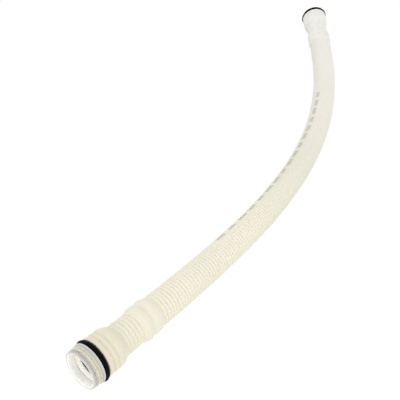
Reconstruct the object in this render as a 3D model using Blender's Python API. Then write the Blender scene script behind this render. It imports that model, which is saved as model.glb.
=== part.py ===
# A corrugated drain hose, blown in one piece, with a plug-in spigot and a rubber
# sealing ring at each end. It lies on a level surface in one long gentle bend.
# Metres, +Z up, the surface at z = 0, the origin under the middle of the hose.
import math

import bmesh
import bpy
import numpy as np
from mathutils import Matrix, Vector

# The corrugated wall
CREST_RADIUS = 0.0125
CORRUGATION_DEPTH = 0.0011
CORRUGATION_PITCH = 0.0031
WALL = 0.0010

# The sealing rings and the grooves that hold them
SEAL_OUTER_RADIUS = 0.0157
SEAL_CORD_RADIUS = 0.0018
SEAL_STATION = 0.0106
SEAL_PROUD = 0.0007
SEAL_GAP = 0.0003

# The nose of the spigot, in front of the sealing ring
NOSE_RADIUS = 0.0142
NOSE_WALL = 0.0019
RIM_ROUNDING = 0.0006
FLANGE_WIDTH = 0.0011
FLANGE_STEP = 0.0005

# The cuff behind the sealing ring
CUFF_RADIUS = 0.0149
CUFF_LENGTH = 0.0151
CUFF_WALL = 0.0016
CUFF_RIB_PITCH = 0.0041
CUFF_RIBS = 2
CUFF_GROOVE_WIDTH = 0.0012
CUFF_GROOVE_DEPTH = 0.0005
TAPER_LENGTH = 0.0040

# The corrugated neck and the two collars that follow it
NECK_CREST_RADIUS = 0.01215
NECK_CORRUGATIONS = 5
COLLAR_RADIUS = 0.0136
COLLAR_LAND = 0.0038
COLLAR_SLOPE = 0.0040
COLLAR_GROOVE_WIDTH = 0.0050
COLLAR_GROOVE_DEPTH = 0.0006

# The ends rise onto their sealing rings over this length
REST_LENGTH = 0.1150
REST_CURVE = 1.4

# Faces round the cuffs, round the corrugations, and round the seals' cord
CUFF_SIDES = 24
RUN_SIDES = 12
SEAL_CORD_SIDES = 10
BORE_STEP = 0.0300
SHARP_ANGLE = 35

# The finish, as linear colour and roughness
NATURAL_PLASTIC = (0.84, 0.80, 0.67), 0.45
BLACK_RUBBER = (0.012, 0.012, 0.013), 0.55

# The middle line in plan, from one rim to the other
ROUTE = (
    (-0.2895, 0.0365),
    (-0.2666, 0.0289),
    (-0.2438, 0.0214),
    (-0.2210, 0.0140),
    (-0.1981, 0.0067),
    (-0.1751, -0.0003),
    (-0.1520, -0.0070),
    (-0.1288, -0.0133),
    (-0.1055, -0.0191),
    (-0.0820, -0.0242),
    (-0.0583, -0.0286),
    (-0.0346, -0.0322),
    (-0.0107, -0.0350),
    (0.0133, -0.0367),
    (0.0373, -0.0373),
    (0.0613, -0.0368),
    (0.0853, -0.0350),
    (0.1091, -0.0319),
    (0.1327, -0.0274),
    (0.1561, -0.0216),
    (0.1790, -0.0144),
    (0.2014, -0.0057),
    (0.2233, 0.0041),
    (0.2449, 0.0147),
    (0.2662, 0.0258),
    (0.2874, 0.0371),
)
SAMPLES_PER_SPAN = 40
DIRECTION_REACH = 0.0015


# The route as a smooth curve

def smooth_curve(points):
    """Samples of the natural cubic spline through the points, and the length up to each."""
    p = np.array(points)
    gap = np.linalg.norm(np.diff(p, axis=0), axis=1)
    last = len(p) - 1
    lhs = np.eye(last + 1)
    rhs = np.zeros_like(p)
    for i in range(1, last):
        lhs[i, i - 1:i + 2] = gap[i - 1], 2 * (gap[i - 1] + gap[i]), gap[i]
        rhs[i] = 6 * ((p[i + 1] - p[i]) / gap[i] - (p[i] - p[i - 1]) / gap[i - 1])
    bend = np.linalg.solve(lhs, rhs)
    samples = []
    for i in range(last):
        for step in range(SAMPLES_PER_SPAN):
            t = gap[i] * step / SAMPLES_PER_SPAN
            back = gap[i] - t
            samples.append(
                (bend[i] * back ** 3 + bend[i + 1] * t ** 3) / (6 * gap[i])
                + (p[i] / gap[i] - bend[i] * gap[i] / 6) * back
                + (p[i + 1] / gap[i] - bend[i + 1] * gap[i] / 6) * t
            )
    samples.append(p[last])
    samples = np.array(samples)
    steps = np.linalg.norm(np.diff(samples, axis=0), axis=1)
    return samples, np.concatenate([[0.0], np.cumsum(steps)])


PLAN, STATIONS = smooth_curve(ROUTE)
HOSE_LENGTH = float(STATIONS[-1])


def height(station):
    """Height of the middle line: each end stands on its seal, the run lies on its crests."""
    from_seal = min(station, HOSE_LENGTH - station) - SEAL_STATION
    share = max(0.0, 1 - from_seal / REST_LENGTH)
    return CREST_RADIUS + (SEAL_OUTER_RADIUS - CREST_RADIUS) * share ** REST_CURVE


def place(station):
    return Vector((
        np.interp(station, STATIONS, PLAN[:, 0]),
        np.interp(station, STATIONS, PLAN[:, 1]),
        height(station),
    ))


def axes(station):
    """Unit vectors along the hose, to its side and up, at a station."""
    back = max(0.0, station - DIRECTION_REACH)
    ahead = min(HOSE_LENGTH, station + DIRECTION_REACH)
    along = (place(ahead) - place(back)).normalized()
    side = along.cross(Vector((0, 0, 1))).normalized()
    return along, side, side.cross(along)


# The section of one end, as (station, radius, sides) from the rim inwards

def corrugations(start, count, pitch, crest, root):
    """Crests and the roots behind them, from the root at start."""
    rows = []
    for i in range(count):
        rows.append((start + (i + 0.5) * pitch, crest, RUN_SIDES))
        rows.append((start + (i + 1) * pitch, root, RUN_SIDES))
    return rows


ROOT_RADIUS = CREST_RADIUS - CORRUGATION_DEPTH
BORE_RADIUS = ROOT_RADIUS - WALL
SHOULDER_RADIUS = SEAL_OUTER_RADIUS - SEAL_PROUD
GROOVE_HALF = SEAL_CORD_RADIUS + SEAL_GAP
GROOVE_FLOOR = SEAL_OUTER_RADIUS - 2 * SEAL_CORD_RADIUS - SEAL_GAP
GROOVE_FRONT = SEAL_STATION - GROOVE_HALF
GROOVE_BACK = SEAL_STATION + GROOVE_HALF
CUFF_END = GROOVE_BACK + CUFF_LENGTH
NECK_START = CUFF_END + TAPER_LENGTH
NECK_END = NECK_START + NECK_CORRUGATIONS * CORRUGATION_PITCH
COLLAR_START = NECK_END + COLLAR_SLOPE
COLLAR_GROOVE = COLLAR_START + COLLAR_LAND + COLLAR_GROOVE_WIDTH / 2
COLLAR_END = COLLAR_GROOVE + COLLAR_GROOVE_WIDTH / 2 + COLLAR_LAND
RUN_START = COLLAR_END + COLLAR_SLOPE + CORRUGATION_PITCH / 2


def nose_outline():
    nose_end = GROOVE_FRONT - FLANGE_WIDTH - FLANGE_STEP
    corner = RIM_ROUNDING * (1 - math.sqrt(0.5))
    return [
        (0.0, NOSE_RADIUS - RIM_ROUNDING, CUFF_SIDES),
        (corner, NOSE_RADIUS - corner, CUFF_SIDES),
        (RIM_ROUNDING, NOSE_RADIUS, CUFF_SIDES),
        (nose_end, SHOULDER_RADIUS - FLANGE_STEP, CUFF_SIDES),
        (nose_end + FLANGE_STEP, SHOULDER_RADIUS, CUFF_SIDES),
        (GROOVE_FRONT, SHOULDER_RADIUS, CUFF_SIDES),
        (GROOVE_FRONT, GROOVE_FLOOR, CUFF_SIDES),
        (GROOVE_BACK, GROOVE_FLOOR, CUFF_SIDES),
        (GROOVE_BACK, SHOULDER_RADIUS, CUFF_SIDES),
    ]


def cuff_outline():
    rows = []
    for i in range(CUFF_RIBS):
        middle = GROOVE_BACK + (i + 1) * CUFF_RIB_PITCH - CUFF_GROOVE_WIDTH / 2
        rows += [
            (middle - CUFF_GROOVE_WIDTH / 2, CUFF_RADIUS, CUFF_SIDES),
            (middle, CUFF_RADIUS - CUFF_GROOVE_DEPTH, CUFF_SIDES),
            (middle + CUFF_GROOVE_WIDTH / 2, CUFF_RADIUS, CUFF_SIDES),
        ]
    rows += [
        (CUFF_END - TAPER_LENGTH / 2, CUFF_RADIUS, CUFF_SIDES),
        (CUFF_END, (3 * CUFF_RADIUS + ROOT_RADIUS) / 4, CUFF_SIDES),
        (NECK_START, ROOT_RADIUS, CUFF_SIDES),
    ]
    return rows


def collar_outline():
    return [
        (COLLAR_START - COLLAR_SLOPE / 3, (COLLAR_RADIUS + NECK_CREST_RADIUS) / 2, RUN_SIDES),
        (COLLAR_START, COLLAR_RADIUS, RUN_SIDES),
        (COLLAR_START + COLLAR_LAND, COLLAR_RADIUS, RUN_SIDES),
        (COLLAR_GROOVE, COLLAR_RADIUS - COLLAR_GROOVE_DEPTH, RUN_SIDES),
        (COLLAR_END - COLLAR_LAND, COLLAR_RADIUS, RUN_SIDES),
        (COLLAR_END, COLLAR_RADIUS, RUN_SIDES),
        (COLLAR_END + COLLAR_SLOPE, CREST_RADIUS, RUN_SIDES),
        (RUN_START, ROOT_RADIUS, RUN_SIDES),
    ]


def end_outline():
    neck = corrugations(
        NECK_START, NECK_CORRUGATIONS, CORRUGATION_PITCH, NECK_CREST_RADIUS, ROOT_RADIUS
    )
    return nose_outline() + cuff_outline() + neck + collar_outline()


def end_bore():
    """The inside of one end: it follows the wall, with a ridge under the sealing groove."""
    ridge = GROOVE_FLOOR - WALL
    cuff = CUFF_RADIUS - CUFF_WALL
    collar = COLLAR_RADIUS - CUFF_WALL
    mouth = NOSE_RADIUS - NOSE_WALL
    return [
        (0.0, mouth + RIM_ROUNDING / 2, CUFF_SIDES),
        (RIM_ROUNDING, mouth, CUFF_SIDES),
        (GROOVE_FRONT - CUFF_WALL, mouth, CUFF_SIDES),
        (GROOVE_FRONT - CUFF_WALL / 2, ridge, CUFF_SIDES),
        (GROOVE_BACK + CUFF_WALL / 2, ridge, CUFF_SIDES),
        (GROOVE_BACK + CUFF_WALL * 1.5, cuff, CUFF_SIDES),
        (CUFF_END - CUFF_WALL, cuff, CUFF_SIDES),
        (NECK_START - CUFF_WALL / 2, BORE_RADIUS, RUN_SIDES),
        (NECK_END, BORE_RADIUS, RUN_SIDES),
        (COLLAR_START, collar, RUN_SIDES),
        (COLLAR_END, collar, RUN_SIDES),
        (COLLAR_END + COLLAR_SLOPE, BORE_RADIUS, RUN_SIDES),
    ]


def mirrored(rows):
    return [(HOSE_LENGTH - station, radius, sides) for station, radius, sides in reversed(rows)]


def outer_rows():
    run = HOSE_LENGTH - 2 * RUN_START
    count = round(run / CORRUGATION_PITCH)
    middle = corrugations(RUN_START, count, run / count, CREST_RADIUS, ROOT_RADIUS)
    return end_outline() + middle[:-1] + mirrored(end_outline())


def bore_rows():
    start = end_bore()[-1][0]
    count = round((HOSE_LENGTH - 2 * start) / BORE_STEP)
    step = (HOSE_LENGTH - 2 * start) / count
    middle = [(start + i * step, BORE_RADIUS, RUN_SIDES) for i in range(1, count)]
    return end_bore() + middle + mirrored(end_bore())


# Meshes

def add_ring(bm, station, radius, sides):
    """A ring of points square to the hose, the first one at its lowest place."""
    middle = place(station)
    _, side, up = axes(station)
    ring = []
    for i in range(sides):
        turn = math.pi + math.tau * i / sides
        ring.append(bm.verts.new(middle + radius * (math.cos(turn) * up + math.sin(turn) * side)))
    return ring


def join_rings(bm, a, b):
    """A band of faces between two rings; one ring may have twice as many points."""
    if len(a) < len(b):
        a, b = b, a
    n = len(b)
    for i in range(n):
        j = (i + 1) % n
        if len(a) == n:
            bm.faces.new((a[i], a[j], b[j], b[i]))
        else:
            half = a[2 * i + 1]
            bm.faces.new((a[2 * i], half, b[i]))
            bm.faces.new((half, b[j], b[i]))
            bm.faces.new((half, a[2 * j], b[j]))


def finish_object(name, mesh, material):
    mesh.materials.append(material)
    mesh.shade_smooth()
    mesh.set_sharp_from_angle(angle=math.radians(SHARP_ANGLE))
    obj = bpy.data.objects.new(name, mesh)
    bpy.context.collection.objects.link(obj)
    return obj


def make_material(name, colour, roughness):
    material = bpy.data.materials.new(name)
    material.use_nodes = True
    shader = material.node_tree.nodes["Principled BSDF"]
    shader.inputs["Base Color"].default_value = (*colour, 1.0)
    shader.inputs["Roughness"].default_value = roughness
    shader.inputs["Metallic"].default_value = 0.0
    return material


def make_hose(material):
    """One closed wall: the outside from rim to rim, then back along the bore."""
    bm = bmesh.new()
    rows = outer_rows() + list(reversed(bore_rows()))
    rings = [add_ring(bm, *row) for row in rows]
    for a, b in zip(rings, rings[1:] + rings[:1]):
        join_rings(bm, a, b)
    bmesh.ops.recalc_face_normals(bm, faces=bm.faces)
    mesh = bpy.data.meshes.new("hose")
    bm.to_mesh(mesh)
    bm.free()
    return finish_object("hose", mesh, material)


def make_seal(name, station, material):
    """A rubber ring that lies in its groove, square to the hose."""
    mean_radius = SEAL_OUTER_RADIUS - SEAL_CORD_RADIUS
    bm = bmesh.new()
    rings = []
    for i in range(CUFF_SIDES):
        turn = math.tau * i / CUFF_SIDES
        ring = []
        for k in range(SEAL_CORD_SIDES):
            roll = math.tau * k / SEAL_CORD_SIDES
            reach = mean_radius + SEAL_CORD_RADIUS * math.cos(roll)
            ring.append(bm.verts.new((
                reach * math.cos(turn), reach * math.sin(turn), SEAL_CORD_RADIUS * math.sin(roll)
            )))
        rings.append(ring)
    for a, b in zip(rings, rings[1:] + rings[:1]):
        join_rings(bm, a, b)
    bmesh.ops.recalc_face_normals(bm, faces=bm.faces)
    mesh = bpy.data.meshes.new(name)
    bm.to_mesh(mesh)
    bm.free()
    obj = finish_object(name, mesh, material)
    along, side, up = axes(station)
    turned = Matrix((up, side, up.cross(side))).transposed().to_4x4()
    obj.matrix_world = Matrix.Translation(place(station)) @ turned
    return obj


def main():
    for old in list(bpy.data.objects):
        bpy.data.objects.remove(old)
    natural_plastic = make_material("natural_polypropylene", *NATURAL_PLASTIC)
    black_rubber = make_material("black_rubber", *BLACK_RUBBER)
    make_hose(natural_plastic)
    make_seal("seal_near_end", SEAL_STATION, black_rubber)
    make_seal("seal_far_end", HOSE_LENGTH - SEAL_STATION, black_rubber)


main()
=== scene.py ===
# A corrugated drain hose of natural polypropylene, with a black sealing ring at each end,
# lying in one long gentle bend on a white table.
import math

import bpy
import numpy as np
from mathutils import Euler, Matrix, Vector


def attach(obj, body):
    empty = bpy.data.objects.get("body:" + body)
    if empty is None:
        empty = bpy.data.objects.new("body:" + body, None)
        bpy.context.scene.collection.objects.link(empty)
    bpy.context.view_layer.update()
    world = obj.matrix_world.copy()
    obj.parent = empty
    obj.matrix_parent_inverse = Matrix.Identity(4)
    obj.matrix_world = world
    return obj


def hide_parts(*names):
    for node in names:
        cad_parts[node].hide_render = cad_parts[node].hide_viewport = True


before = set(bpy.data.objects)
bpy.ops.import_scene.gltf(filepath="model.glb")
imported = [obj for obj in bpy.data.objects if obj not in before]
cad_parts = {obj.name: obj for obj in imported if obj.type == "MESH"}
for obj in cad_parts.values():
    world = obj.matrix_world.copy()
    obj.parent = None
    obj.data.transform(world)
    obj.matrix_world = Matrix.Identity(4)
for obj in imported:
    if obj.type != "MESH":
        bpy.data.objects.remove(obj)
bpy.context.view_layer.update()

mm = 0.001
print("frame loaded:", ", ".join(sorted(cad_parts)))

# The middle line in plan, in metres, from the near rim to the far rim. It is the route of
# the part's own source, so the looks lie exactly on the solid.
route = [
    (-0.2895, 0.0365), (-0.2666, 0.0289), (-0.2438, 0.0214), (-0.2210, 0.0140),
    (-0.1981, 0.0067), (-0.1751, -0.0003), (-0.1520, -0.0070), (-0.1288, -0.0133),
    (-0.1055, -0.0191), (-0.0820, -0.0242), (-0.0583, -0.0286), (-0.0346, -0.0322),
    (-0.0107, -0.0350), (0.0133, -0.0367), (0.0373, -0.0373), (0.0613, -0.0368),
    (0.0853, -0.0350), (0.1091, -0.0319), (0.1327, -0.0274), (0.1561, -0.0216),
    (0.1790, -0.0144), (0.2014, -0.0057), (0.2233, 0.0041), (0.2449, 0.0147),
    (0.2662, 0.0258), (0.2874, 0.0371),
]

lieSettings = {
    "crest": 12.5 * mm,         # outer radius of the corrugations, which lie on the table
    "sealReach": 15.7 * mm,     # outer radius of a sealing ring, which each end stands on
    "sealStation": 10.6 * mm,
    "restLength": 115 * mm,     # the ends rise onto their rings over this length
    "restCurve": 1.4,
    "samplesPerSpan": 40,
    "directionReach": 1.5 * mm,
}


def smoothCurve(points, samplesPerSpan):
    # samples of the natural cubic spline through the points, and the length up to each
    p = np.array(points)
    gap = np.linalg.norm(np.diff(p, axis=0), axis=1)
    last = len(p) - 1
    lhs = np.eye(last + 1)
    rhs = np.zeros_like(p)
    for i in range(1, last):
        lhs[i, i - 1:i + 2] = gap[i - 1], 2 * (gap[i - 1] + gap[i]), gap[i]
        rhs[i] = 6 * ((p[i + 1] - p[i]) / gap[i] - (p[i] - p[i - 1]) / gap[i - 1])
    bend = np.linalg.solve(lhs, rhs)
    samples = []
    for i in range(last):
        for t in np.linspace(0, gap[i], samplesPerSpan, endpoint=False):
            back = gap[i] - t
            samples.append(
                (bend[i] * back ** 3 + bend[i + 1] * t ** 3) / (6 * gap[i])
                + (p[i] / gap[i] - bend[i] * gap[i] / 6) * back
                + (p[i + 1] / gap[i] - bend[i + 1] * gap[i] / 6) * t
            )
    samples = np.array(samples + [p[last]])
    steps = np.linalg.norm(np.diff(samples, axis=0), axis=1)
    return samples, np.concatenate([[0.0], np.cumsum(steps)])


plan, stations = smoothCurve(route, lieSettings["samplesPerSpan"])
hoseLength = float(stations[-1])


def placeAt(station):
    # the middle line stands on the sealing rings at its ends and on its crests between them
    q = lieSettings
    fromSeal = min(station, hoseLength - station) - q["sealStation"]
    share = max(0.0, 1 - fromSeal / q["restLength"])
    height = q["crest"] + (q["sealReach"] - q["crest"]) * share ** q["restCurve"]
    return Vector((
        np.interp(station, stations, plan[:, 0]),
        np.interp(station, stations, plan[:, 1]),
        height,
    ))


def axesAt(station):
    reach = lieSettings["directionReach"]
    ahead = placeAt(min(hoseLength, station + reach))
    along = (ahead - placeAt(max(0.0, station - reach))).normalized()
    side = along.cross(Vector((0, 0, 1))).normalized()
    return along, side, side.cross(along)


# Colours and nodes

def toLinear(hexColour):
    # sRGB hex to the linear colour that a shader takes
    parts = [int(hexColour[i:i + 2], 16) / 255 for i in (1, 3, 5)]
    return [c / 12.92 if c <= 0.04045 else ((c + 0.055) / 1.055) ** 2.4 for c in parts] + [1.0]


def addNode(material, kind, inputs=None, **settings):
    # one node, its settings, and for each input either a value or the socket that feeds it
    tree = material.node_tree
    node = tree.nodes.new(kind)
    for name, value in settings.items():
        setattr(node, name, value)
    for socket, value in (inputs or {}).items():
        if isinstance(value, bpy.types.NodeSocket):
            tree.links.new(value, node.inputs[socket])
        else:
            node.inputs[socket].default_value = value
    return node


def newMaterial(name):
    material = bpy.data.materials.new(name)
    material.use_nodes = True
    return material, material.node_tree.nodes["Principled BSDF"]


# The hose: blown natural polypropylene, one wall from rim to rim

hoseSettings = {
    "pitch": 3.1 * mm,
    "root": 11.4 * mm,
    "crest": 12.5 * mm,
    "neckCrest": 12.15 * mm,
    "neckStart": 31.8 * mm,
    "neckCount": 5,
    "runStart": 68.35 * mm,
    "wall": 1.0 * mm,
    "sides": 56,
    "boreSides": 28,
    "filletSteps": 3,
    "filletShare": 0.48,        # the most of a side that one fillet takes
    "sharpAngle": 40.0,
    # where the rings stand in one corrugation, as shares of its pitch
    "outerPhases": (0.0, 0.11, 0.26, 0.5, 0.74, 0.89),
    "borePhases": (0.0, 0.25, 0.5, 0.75),
    "crestFullness": 0.75,
}

# The section of one end in millimetres, as (station, radius, fillet), from the rim inwards
outerCorners = [
    (0.0, 13.2, 0.0), (0.0, 14.0, 0.7),
    (1.6, 14.15, 0.2), (1.95, 13.95, 0.2), (2.4, 14.2, 0.2),
    (3.6, 14.35, 0.2), (4.0, 14.6, 0.2), (4.5, 14.4, 0.2), (5.0, 14.35, 0.2),
    (5.6, 14.45, 0.2), (6.0, 14.65, 0.2), (6.5, 14.42, 0.2),
    (6.9, 14.45, 0.15), (7.2, 15.0, 0.2), (8.5, 15.0, 0.2),
    (8.5, 11.8, 0.4), (12.7, 11.8, 0.4), (12.7, 15.0, 0.35),
    (14.2, 15.0, 0.6), (16.2, 14.85, 0.4), (16.85, 13.85, 0.3), (17.45, 13.85, 0.3),
    (18.2, 14.85, 0.5), (20.3, 14.85, 0.5), (21.05, 13.95, 0.3), (21.65, 13.95, 0.3),
    (22.4, 14.8, 0.5), (25.4, 14.9, 1.8), (28.0, 14.0, 1.4), (31.3, 11.9, 0.9),
    (31.8, 11.4, 0.0),
]
collarCorners = [
    (47.3, 11.4, 0.0), (48.3, 12.3, 0.4), (50.0, 12.75, 0.6), (51.3, 13.6, 0.6),
    (55.0, 13.6, 0.8), (56.3, 12.95, 0.6), (58.5, 12.95, 0.7), (60.1, 13.6, 0.8),
    (63.6, 13.55, 1.6), (66.8, 12.5, 0.7), (68.35, 11.4, 0.0),
]
boreCorners = [
    (0.0, 13.2, 0.0), (0.0, 12.3, 0.6), (5.7, 12.3, 0.3), (8.1, 10.8, 0.3),
    (13.5, 10.8, 0.5), (14.6, 13.5, 0.8), (25.4, 13.5, 1.6), (31.8, 10.4, 0.0),
]
boreCollarCorners = [
    (47.3, 10.4, 0.0), (51.3, 12.4, 0.8), (55.0, 12.4, 0.8), (56.8, 11.9, 0.8),
    (58.2, 11.9, 0.8), (60.1, 12.4, 0.8), (63.6, 12.4, 1.6), (68.35, 10.4, 0.0),
]


def filletCorners(corners, steps):
    # a corner list in millimetres to points in metres, with each fillet as a short curve
    most = hoseSettings["filletShare"]
    points = []
    for i, (station, radius, fillet) in enumerate(corners):
        here = np.array([station, radius])
        if fillet == 0:
            points.append(here)
            continue
        back = np.array(corners[i - 1][:2]) - here
        ahead = np.array(corners[i + 1][:2]) - here
        a = here + back * min(fillet / np.linalg.norm(back), most)
        b = here + ahead * min(fillet / np.linalg.norm(ahead), most)
        for t in np.linspace(0, 1, steps + 1):
            points.append(a * (1 - t) ** 2 + 2 * here * t * (1 - t) + b * t ** 2)
    return [(float(s) * mm, float(r) * mm) for s, r in points]


def corrugate(start, count, pitch, root, crest, phases):
    # full crests and narrow roots, as the moulding blocks leave them
    q = hoseSettings
    rows = []
    for i in range(count):
        for phase in phases:
            swell = (0.5 - 0.5 * math.cos(math.tau * phase)) ** q["crestFullness"]
            rows.append((start + (i + phase) * pitch, root + (crest - root) * swell))
    return rows


def wallRows(inside):
    # (station, radius) of one face of the wall, from rim to rim
    q = hoseSettings
    thick = q["wall"] if inside else 0.0
    phases = q["borePhases"] if inside else q["outerPhases"]
    ends, collars = (boreCorners, boreCollarCorners) if inside else (outerCorners, collarCorners)
    neck = corrugate(q["neckStart"], q["neckCount"], q["pitch"], q["root"] - thick,
                     q["neckCrest"] - thick, phases)
    nearEnd = (filletCorners(ends, q["filletSteps"])[:-1] + neck
               + filletCorners(collars, q["filletSteps"])[:-1])
    run = hoseLength - 2 * q["runStart"]
    count = round(run / q["pitch"])
    middle = corrugate(q["runStart"], count, run / count, q["root"] - thick,
                       q["crest"] - thick, phases)
    farEnd = [(hoseLength - s, r) for s, r in reversed(nearEnd)]
    closing = [(hoseLength - q["runStart"], q["root"] - thick)]
    return nearEnd + middle + closing + farEnd


def makeHose(material):
    q = hoseSettings
    outer = [(s, r, q["sides"], 1.0) for s, r in wallRows(False)]
    bore = []
    for s, r in wallRows(True)[1:-1]:
        fine = min(s, hoseLength - s) < q["runStart"]
        bore.append((s, r, q["sides"] if fine else q["boreSides"], 0.0))
    rows = outer + bore[::-1]
    points, path, firsts, swell, outside = [], [], [], [], []
    for station, radius, sides, isOuter in rows:
        middle = placeAt(station)
        _, side, up = axesAt(station)
        if isOuter:
            path.append(tuple(middle))
        firsts.append(len(points))
        rise = (radius - q["root"]) / (q["crest"] - q["root"])
        for i in range(sides):
            turn = math.pi + math.tau * i / sides
            points.append(middle + radius * (math.cos(turn) * up + math.sin(turn) * side))
            swell.append(min(1.0, max(0.0, rise)))
            outside.append(isOuter)
    faces, uvs = [], []
    for k in range(len(rows)):
        m = (k + 1) % len(rows)
        (sa, _, na, _), (sb, _, nb, _) = rows[k], rows[m]
        ua, ub = sa / hoseLength, sb / hoseLength
        n = min(na, nb)
        for i in range(n):
            if na == nb:
                corners = [(k, i, ua, na), (k, i + 1, ua, na), (m, i + 1, ub, nb), (m, i, ub, nb)]
                loops = [corners]
            elif na > nb:
                loops = [
                    [(k, 2 * i, ua, na), (k, 2 * i + 1, ua, na), (m, i, ub, nb)],
                    [(k, 2 * i + 1, ua, na), (m, i + 1, ub, nb), (m, i, ub, nb)],
                    [(k, 2 * i + 1, ua, na), (k, 2 * i + 2, ua, na), (m, i + 1, ub, nb)],
                ]
            else:
                loops = [
                    [(k, i, ua, na), (m, 2 * i + 1, ub, nb), (m, 2 * i, ub, nb)],
                    [(k, i, ua, na), (k, i + 1, ua, na), (m, 2 * i + 1, ub, nb)],
                    [(k, i + 1, ua, na), (m, 2 * i + 2, ub, nb), (m, 2 * i + 1, ub, nb)],
                ]
            for loop in loops:
                faces.append([firsts[row] + j % count for row, j, _, count in loop])
                uvs += [(u, j / count) for _, j, u, count in loop]
    mesh = bpy.data.meshes.new("corrugatedHose")
    mesh.from_pydata(points, [], faces)
    mesh.uv_layers.new(name="lengthAndTurn").uv.foreach_set("vector", np.ravel(uvs))
    for name, values in (("swell", swell), ("outside", outside)):
        mesh.attributes.new(name, "FLOAT", "POINT").data.foreach_set("value", values)
    mesh.materials.append(material)
    mesh.validate()
    mesh.shade_smooth()
    mesh.set_sharp_from_angle(angle=math.radians(q["sharpAngle"]))
    hose = bpy.data.objects.new("corrugatedHose", mesh)
    bpy.context.collection.objects.link(hose)
    triangles = sum(len(f) - 2 for f in faces)
    print(f"hose: {triangles} triangles, {hoseLength / mm:.1f} mm long")
    return hose, path


plasticSettings = {
    # The wall's colour, at millimetres from the near rim: deeper cream at the thick blown cuff,
    # lightest on the first corrugations, then greyer towards the far end, where the greyer tone
    # is painted light standing in for the paler, hazier light over the far half
    "body": (
        (0, "#D8D2BB"), (30, "#DDD7C3"), (60, "#E4DFCB"), (170, "#E2DDCB"), (300, "#D8D5C8"),
        (460, "#DCDAD1"), (601, "#D9D8D3"),
    ),
    # The thin nose, at millimetres from its own rim: grey lip, cream ridges with greyer grooves
    # between them, the grey in the grooves being painted shade, and the cool pale flange in front
    # of the sealing ring
    "nose": (
        (0.0, "#B6B4AE"), (1.85, "#AAA8A2"), (4.0, "#D0CBBB"), (4.9, "#BDB8A8"),
        (5.95, "#CFCAB8"), (6.85, "#AEACA2"), (7.4, "#BCC2BF"), (8.6, "#C4C9C6"),
    ),
    # The bore behind it: the wall and step painted nearly white, painted light for the light that
    # comes through the thin wall, a grey line where the step begins, and the black ring's painted
    # shadow, cast through the wall
    "inside": (
        (0.0, "#FAF8EE"), (5.0, "#FAF8EE"), (5.5, "#E0DCCE"), (6.0, "#FFFDF4"), (8.1, "#FFFDF4"),
        (8.8, "#66645E"), (12.0, "#66645E"), (13.2, "#D8D2BE"), (16.0, "#E6E0CC"),
    ),
    # painted light: the far nose nearly white, for the light that shines through it
    "farNose": "#FAFAFC",
    # painted light: a root is painted a little lighter than its crest
    "rootPaintedLight": 1.02,          # a root's share of the colour of its crest
    "mottleScale": 28.0,        # cells per metre, so patches about 35 mm across
    "mottleDetail": 3.0,
    "mottleSpan": (0.3, 0.7),   # the part of the noise that is spread over the two below
    "mottleShade": (0.985, 1.01),
    "roughness": (0.38, 0.52),
    "grainScale": 1400.0,       # cells per metre, so a grain of 0.7 mm
    "grainDetail": 2.0,
    "grainStrength": 0.05,
    "grainHeight": 0.05 * mm,
    "ior": 1.49,
    "thinReach": 5.8,           # millimetres behind each rim where the wall is thin
    "milkiness": (0.1, 1.0),    # of the body, and of that thin part
    "scatterRadius": (1.0, 0.97, 0.9),
    "scatterScale": 4 * mm,
    "sheen": 0.2,
    "sheenRoughness": 0.5,
    # one row of plain dashes, in millimetres along the hose and in turns round it
    "print": {
        "first": 153.0, "last": 433.0, "period": 16.5, "dash": 0.66,
        "turn": 0.334, "halfTurn": 0.028, "ink": "#6B6963", "cover": 0.58,
        "inkedRise": (0.35, 0.8),
    },
}


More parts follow.
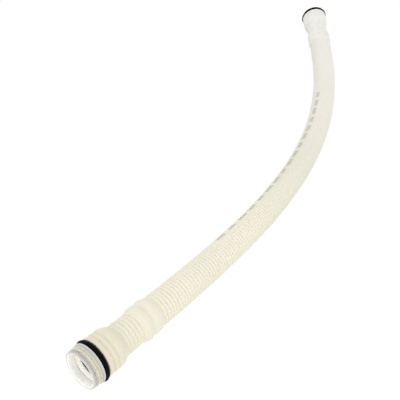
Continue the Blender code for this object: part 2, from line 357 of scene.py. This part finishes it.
def makeNaturalPolypropylene():
    # Uncoloured polypropylene, formed on corrugated blocks and blown at the ends. It is milky:
    # light enters the wall and comes back cream, the thin nose is greyer, and the gloss is soft.
    q = plasticSettings
    material, shader = newMaterial("natural polypropylene, blown")
    tree = material.node_tree
    uv = addNode(material, "ShaderNodeUVMap", uv_map="lengthAndTurn").outputs["UV"]
    split = addNode(material, "ShaderNodeSeparateXYZ", {"Vector": uv})
    longMm = hoseLength / mm
    fromNear = addNode(material, "ShaderNodeMath", {0: split.outputs["X"], 1: longMm},
                       operation="MULTIPLY").outputs[0]
    fromFar = addNode(material, "ShaderNodeMath", {0: longMm, 1: fromNear},
                      operation="SUBTRACT").outputs[0]
    fromRim = addNode(material, "ShaderNodeMath", {0: fromNear, 1: fromFar},
                      operation="MINIMUM").outputs[0]
    place = addNode(material, "ShaderNodeTexCoord").outputs["Object"]
    swell = addNode(material, "ShaderNodeAttribute", attribute_name="swell").outputs["Fac"]
    outside = addNode(material, "ShaderNodeAttribute", attribute_name="outside").outputs["Fac"]

    ramps = {}
    for name, distance in (("body", fromNear), ("nose", fromRim), ("inside", fromRim)):
        whole = q[name][-1][0]
        share = addNode(material, "ShaderNodeMath", {0: distance, 1: whole}, operation="DIVIDE")
        ramp = addNode(material, "ShaderNodeValToRGB", {"Fac": share.outputs[0]})
        elements = ramp.color_ramp.elements
        stops = q[name]
        elements[0].color, elements[-1].color = toLinear(stops[0][1]), toLinear(stops[-1][1])
        for at, colour in stops[1:-1]:
            elements.new(at / whole).color = toLinear(colour)
        ramps[name] = ramp.outputs["Color"]

    # painted light: the roots of the corrugations are painted a little lighter than their crests,
    # for light through the thin roots and against the shade that falls in them
    rootPaintedLight = addNode(material, "ShaderNodeMapRange", {
        "Value": swell, "To Min": q["rootPaintedLight"], "To Max": 1.0}).outputs["Result"]
    mottle = addNode(material, "ShaderNodeTexNoise", {
        "Vector": place, "Scale": q["mottleScale"], "Detail": q["mottleDetail"],
    }).outputs["Fac"]
    spread = {"Value": mottle, "From Min": q["mottleSpan"][0], "From Max": q["mottleSpan"][1]}
    mottleShade = addNode(material, "ShaderNodeMapRange", {
        **spread, "To Min": q["mottleShade"][0], "To Max": q["mottleShade"][1],
    }).outputs["Result"]
    shade = addNode(material, "ShaderNodeMath", {0: rootPaintedLight, 1: mottleShade},
                    operation="MULTIPLY").outputs[0]
    body = addNode(material, "ShaderNodeVectorMath", {0: ramps["body"], "Scale": shade},
                   operation="SCALE").outputs["Vector"]

    # the noses: thin and see-through; the far one is painted nearly white, painted light for the
    # light that shines through it
    isNear = addNode(material, "ShaderNodeMath", {0: fromNear, 1: longMm / 2},
                     operation="LESS_THAN").outputs[0]
    nose = addNode(material, "ShaderNodeMix", {
        "Factor": isNear, "A": toLinear(q["farNose"]), "B": ramps["nose"]}, data_type="RGBA")

    # the printed row: worn grey ink, which only the crests took
    line = q["print"]
    fromFirst = addNode(material, "ShaderNodeMath", {0: fromNear, 1: line["first"]},
                        operation="SUBTRACT").outputs[0]
    dashes = addNode(material, "ShaderNodeMath", {0: fromFirst, 1: line["period"]},
                     operation="DIVIDE").outputs[0]
    dashes = addNode(material, "ShaderNodeMath", {0: dashes}, operation="FRACT").outputs[0]
    fromLine = addNode(material, "ShaderNodeMath", {0: split.outputs["Y"], 1: line["turn"]},
                       operation="SUBTRACT").outputs[0]
    fromLine = addNode(material, "ShaderNodeMath", {0: fromLine},
                       operation="ABSOLUTE").outputs[0]
    cover = addNode(material, "ShaderNodeMapRange", {
        "Value": swell, "From Min": line["inkedRise"][0], "From Max": line["inkedRise"][1],
        "To Max": line["cover"]}).outputs["Result"]
    for value, kind, limit in (
        (fromFirst, "GREATER_THAN", 0.0), (fromNear, "LESS_THAN", line["last"]),
        (dashes, "LESS_THAN", line["dash"]), (fromLine, "LESS_THAN", line["halfTurn"]),
    ):
        within = addNode(material, "ShaderNodeMath", {0: value, 1: limit}, operation=kind)
        cover = addNode(material, "ShaderNodeMath", {0: cover, 1: within.outputs[0]},
                        operation="MULTIPLY").outputs[0]
    printed = addNode(material, "ShaderNodeMix", {
        "Factor": cover, "A": body, "B": toLinear(line["ink"])}, data_type="RGBA")

    # nose and body outside, throat and body inside
    isNose = addNode(material, "ShaderNodeMath", {0: fromRim, 1: q["nose"][-1][0]},
                     operation="LESS_THAN").outputs[0]
    skin = addNode(material, "ShaderNodeMix", {
        "Factor": isNose, "A": printed.outputs["Result"], "B": nose.outputs["Result"],
    }, data_type="RGBA")
    # the throat takes the inside stops: painted light through the thin wall and the sealing
    # ring's painted shadow
    isThroat = addNode(material, "ShaderNodeMath", {0: fromRim, 1: q["inside"][-1][0]},
                       operation="LESS_THAN").outputs[0]
    bore = addNode(material, "ShaderNodeMix", {
        "Factor": isThroat, "A": body, "B": ramps["inside"]}, data_type="RGBA")
    colour = addNode(material, "ShaderNodeMix", {
        "Factor": outside, "A": bore.outputs["Result"], "B": skin.outputs["Result"],
    }, data_type="RGBA").outputs["Result"]
    tree.links.new(colour, shader.inputs["Base Color"])

    # soft gloss, patchy like the colour, over a fine moulded grain
    grain = addNode(material, "ShaderNodeTexNoise", {
        "Vector": place, "Scale": q["grainScale"], "Detail": q["grainDetail"],
    }).outputs["Fac"]
    roughness = addNode(material, "ShaderNodeMapRange", {
        **spread, "To Min": q["roughness"][0], "To Max": q["roughness"][1],
    }).outputs["Result"]
    tree.links.new(roughness, shader.inputs["Roughness"])
    bump = addNode(material, "ShaderNodeBump", {
        "Height": grain, "Strength": q["grainStrength"], "Distance": q["grainHeight"],
    }).outputs["Normal"]
    tree.links.new(bump, shader.inputs["Normal"])

    # light scatters a little in the body, and fully in the thin nose
    isThin = addNode(material, "ShaderNodeMath", {0: fromRim, 1: q["thinReach"]},
                     operation="LESS_THAN").outputs[0]
    milkiness = addNode(material, "ShaderNodeMapRange", {
        "Value": isThin, "To Min": q["milkiness"][0], "To Max": q["milkiness"][1],
    }).outputs["Result"]
    tree.links.new(milkiness, shader.inputs["Subsurface Weight"])
    for socket, value in (
        ("IOR", q["ior"]), ("Subsurface Radius", q["scatterRadius"]),
        ("Subsurface Scale", q["scatterScale"]), ("Sheen Weight", q["sheen"]),
        ("Sheen Roughness", q["sheenRoughness"]),
    ):
        shader.inputs[socket].default_value = value
    return material


hosePlastic = makeNaturalPolypropylene()
hose, hosePath = makeHose(hosePlastic)


# The sealing rings: black rubber, moulded, pushed into the grooves

sealSettings = {
    "outerRadius": 15.7 * mm,
    "cordRadius": 1.7 * mm,
    "sides": 96,
    "cordSides": 24,
    "flashWidth": 0.25 * mm,
    "flashHeight": 0.05 * mm,
    "crestSlack": 0.01 * mm,    # how near the outermost edge loop has to be
    "levelSlack": 0.001 * mm,
    # from the near rim, and counted back from the far one
    "stations": {"seal_near_end": 10.5 * mm, "seal_far_end": -10.5 * mm},
}

rubberSettings = {
    "shades": ("#030202", "#090707"),
    "grainScale": 2500.0,       # cells per metre, so a grain of 0.4 mm
    "grainDetail": 2.0,
    "roughness": 0.5,
    "specular": 0.05,
}


def makeBlackRubber():
    # Black moulded rubber: nearly no colour, a dull broad sheen, a fine matt grain.
    q = rubberSettings
    material, shader = newMaterial("black rubber, moulded")
    place = addNode(material, "ShaderNodeTexCoord").outputs["Object"]
    grain = addNode(material, "ShaderNodeTexNoise", {
        "Vector": place, "Scale": q["grainScale"], "Detail": q["grainDetail"]})
    shade = addNode(material, "ShaderNodeMix", {
        "Factor": grain.outputs["Fac"], "A": toLinear(q["shades"][0]),
        "B": toLinear(q["shades"][1])}, data_type="RGBA")
    material.node_tree.links.new(shade.outputs["Result"], shader.inputs["Base Color"])
    shader.inputs["Roughness"].default_value = q["roughness"]
    shader.inputs["Specular IOR Level"].default_value = q["specular"]
    return material


def makeSeal(node, station, material):
    q = sealSettings
    station %= hoseLength
    along, side, up = axesAt(station)
    turned = Matrix((up, side, up.cross(side))).transposed().to_euler()
    mean = q["outerRadius"] - q["cordRadius"]
    bpy.ops.object.select_all(action="DESELECT")
    bpy.ops.mesh.primitive_torus_add(
        major_radius=mean, minor_radius=q["cordRadius"], major_segments=q["sides"],
        minor_segments=q["cordSides"], location=placeAt(station), rotation=turned)
    seal = bpy.context.object
    seal.name = node.title().replace("_", "")
    # the mould's parting line leaves a fine flash round the outside of the ring
    bpy.ops.object.mode_set(mode="EDIT")
    bpy.ops.mesh.select_all(action="DESELECT")
    bpy.ops.mesh.select_mode(type="EDGE")
    bpy.ops.object.mode_set(mode="OBJECT")
    for edge in seal.data.edges:
        ends = [seal.data.vertices[v].co for v in edge.vertices]
        edge.select = all(p.xy.length > q["outerRadius"] - q["crestSlack"] for p in ends)
    bpy.ops.object.mode_set(mode="EDIT")
    bpy.ops.mesh.bevel(offset=q["flashWidth"] / 2, segments=2)
    bpy.ops.object.mode_set(mode="OBJECT")
    flat = min(abs(v.co.z) for v in seal.data.vertices)
    for vertex in seal.data.vertices:
        isLevel = abs(vertex.co.z) <= flat + q["levelSlack"]
        vertex.select = isLevel and vertex.co.xy.length > mean
    bpy.ops.object.mode_set(mode="EDIT")
    bpy.ops.mesh.select_mode(type="VERT")
    bpy.ops.transform.shrink_fatten(value=q["flashHeight"])
    bpy.ops.object.mode_set(mode="OBJECT")
    bpy.ops.object.transform_apply(location=True, rotation=True, scale=True)
    bpy.ops.object.shade_smooth()
    seal.data.materials.append(material)
    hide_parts(node)
    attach(seal, "root")
    print(f"{seal.name}: {len(seal.data.polygons)} faces")
    return seal


blackRubber = makeBlackRubber()
seals = [
    makeSeal(node, station, blackRubber) for node, station in sealSettings["stations"].items()
]

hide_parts("hose")
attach(hose, "root")


# The table, the room, the lamps and the camera

studioSettings = {
    "tableSize": 8.0,
    "tableDrop": 0.2 * mm,
    "tableColour": "#F4F4F4",
    "tableRoughness": 0.9,
    "tableSpecular": 0.1,
    "whiteShare": 0.97,         # the rest keeps the hose's shadow
    "worldStrength": 0.82,
    "lampAngle": 110.0,         # wide lamps, so their shadows are soft
    "lamps": {                  # where each stands, and its strength
        "left soft light": ((0.0, 0.97, 0.26), 0.60),
        "right soft light": ((0.0, -0.91, 0.42), 0.47),
        "front soft light": ((-0.82, 0.0, 0.57), 1.0),
    },
}


def seenRays(owner):
    # 1 where the camera, a reflection or a see-through surface looks, 0 where light is gathered
    rays = addNode(owner, "ShaderNodeLightPath").outputs
    seen = addNode(owner, "ShaderNodeMath", {
        0: rays["Is Camera Ray"], 1: rays["Is Glossy Ray"]}, operation="MAXIMUM")
    return addNode(owner, "ShaderNodeMath", {
        0: seen.outputs[0], 1: rays["Is Transmission Ray"]}, operation="MAXIMUM").outputs[0]


def makeStudio():
    q = studioSettings
    table, shader = newMaterial("table, white paper")
    shader.inputs["Base Color"].default_value = toLinear(q["tableColour"])
    shader.inputs["Roughness"].default_value = q["tableRoughness"]
    shader.inputs["Specular IOR Level"].default_value = q["tableSpecular"]
    share = addNode(table, "ShaderNodeMath", {
        0: seenRays(table), 1: q["whiteShare"]}, operation="MULTIPLY")
    white = addNode(table, "ShaderNodeEmission", {"Color": toLinear("#FFFFFF"), "Strength": 1.0})
    mixed = addNode(table, "ShaderNodeMixShader", {
        0: share.outputs[0], 1: shader.outputs[0], 2: white.outputs[0]})
    output = table.node_tree.nodes["Material Output"]
    table.node_tree.links.new(mixed.outputs[0], output.inputs["Surface"])
    bpy.ops.object.select_all(action="DESELECT")
    bpy.ops.mesh.primitive_plane_add(size=q["tableSize"], location=(0, 0, -q["tableDrop"]))
    floor = bpy.context.object
    floor.name = "table"
    floor.data.materials.append(table)

    world = bpy.data.worlds.new("pale room")
    bpy.context.scene.world = world
    world.use_nodes = True
    back = world.node_tree.nodes["Background"]
    back.inputs["Color"].default_value = toLinear("#FFFFFF")
    glow = addNode(world, "ShaderNodeMapRange", {
        "Value": seenRays(world), "To Min": q["worldStrength"], "To Max": 1.0})
    world.node_tree.links.new(glow.outputs["Result"], back.inputs["Strength"])

    for name, (place, strength) in q["lamps"].items():
        light = bpy.data.lights.new(name, "SUN")
        light.angle, light.energy = math.radians(q["lampAngle"]), strength
        lamp = bpy.data.objects.new(name, light)
        lamp.location = place
        lamp.rotation_euler = (-Vector(place)).to_track_quat("-Z", "Y").to_euler()
        bpy.context.collection.objects.link(lamp)
    print("table, room and lamps ready")


cameraSettings = {
    "place": (-0.4148, 0.0317, 0.3561),
    "turn": (36.89, -21.10, -64.67),
    "lens": 47.70,
    "sensor": 36.0,
}


def makeCamera():
    q = cameraSettings
    data = bpy.data.cameras.new("camera")
    data.lens, data.sensor_width = q["lens"], q["sensor"]
    camera = bpy.data.objects.new("camera", data)
    camera.location = q["place"]
    camera.rotation_euler = Euler([math.radians(a) for a in q["turn"]])
    bpy.context.collection.objects.link(camera)
    bpy.context.scene.camera = camera
    print("camera ready")


makeStudio()
makeCamera()
bpy.context.scene.view_settings.view_transform = "Standard"
